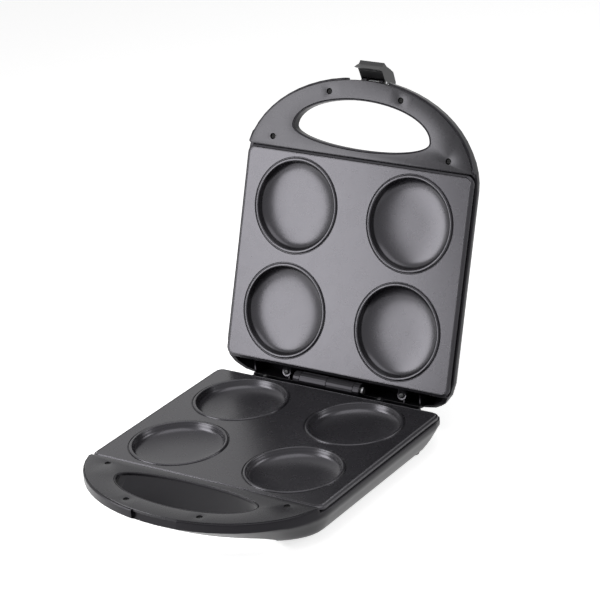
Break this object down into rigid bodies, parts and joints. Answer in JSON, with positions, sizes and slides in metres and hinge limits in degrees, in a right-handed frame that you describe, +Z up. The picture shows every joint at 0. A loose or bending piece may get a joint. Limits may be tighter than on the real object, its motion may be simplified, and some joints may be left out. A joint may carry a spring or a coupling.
{
  "type": "four-cup mini pizza maker",
  "caption": "Hinged countertop cooker with round cups in two non-stick plates, standing open, with loop handles and a snap latch.",
  "frame": {"origin": "centre of the footprint of the open product, on the surface that it stands on", "axes": "+X to the right of a person in front of it, +Y from the handle of the base back to the hinge, +Z up"},
  "size_m": [0.304, 0.4972, 0.3897],
  "materials": {
    "housing_plastic": "fine moulded grain, black",
    "trim_plastic": "smooth satin, very dark grey",
    "latch_plastic": "satin, black",
    "plate_coating": "cast aluminium under a dark grey non-stick coating",
    "screw_steel": "blackened steel",
    "pin_steel": "bright drawn steel",
    "element_steel": "heat tinted steel tube",
    "clamp_steel": "zinc plated strip",
    "shield_aluminium": "thin rolled sheet",
    "fuse_metal": "small drawn case",
    "ceramic_white": "glazed white ceramic",
    "foot_rubber": "matt black rubber",
    "lens_red": "clear red lens",
    "lens_green": "clear green lens",
    "lamp_glass": "small neon lamp"
  },
  "bodies": {
    "base": {"base_housing": "housing_plastic", "base_handle_trim": "trim_plastic", "base_trim_screw_1": "screw_steel", "base_trim_screw_2": "screw_steel", "base_trim_screw_3": "screw_steel", "base_trim_screw_4": "screw_steel", "lower_plate": "plate_coating", "lower_heating_element": "element_steel", "lower_element_clamp_front": "clamp_steel", "lower_element_clamp_rear": "clamp_steel", "lower_heat_shield": "shield_aluminium", "lower_thermostat": "ceramic_white", "lower_plate_screw_1": "screw_steel", "lower_plate_screw_2": "screw_steel", "thermal_fuse": "fuse_metal", "terminal_block": "ceramic_white", "cord_inlet_bush": "foot_rubber", "foot_front_left": "foot_rubber", "foot_front_right": "foot_rubber", "foot_rear_left": "foot_rubber", "foot_rear_right": "foot_rubber", "hinge_pin": "pin_steel"},
    "lid": {"lid_housing": "housing_plastic", "lid_handle_trim": "trim_plastic", "lid_trim_screw_1": "screw_steel", "lid_trim_screw_2": "screw_steel", "lid_trim_screw_3": "screw_steel", "lid_trim_screw_4": "screw_steel", "upper_plate": "plate_coating", "upper_heating_element": "element_steel", "upper_element_clamp_front": "clamp_steel", "upper_element_clamp_rear": "clamp_steel", "upper_heat_shield": "shield_aluminium", "upper_thermostat": "ceramic_white", "upper_plate_screw_1": "screw_steel", "upper_plate_screw_2": "screw_steel", "power_lamp_lens": "lens_red", "ready_lamp_lens": "lens_green", "power_lamp": "lamp_glass", "ready_lamp": "lamp_glass", "latch_pin": "pin_steel"},
    "latch": {"latch": "latch_plastic"}
  },
  "joints": [
    {"name": "lid_hinge", "type": "hinge", "parent": "base", "child": "lid", "pos_m": [0, 0.09838, 0.0442], "axis": [1, 0, 0], "range_deg": [0, 109]},
    {"name": "latch_pivot", "type": "hinge", "parent": "lid", "child": "latch", "pos_m": [0, 0.22868, 0.3658], "axis": [1, 0, 0], "range_deg": [0, 35]}
  ]
}
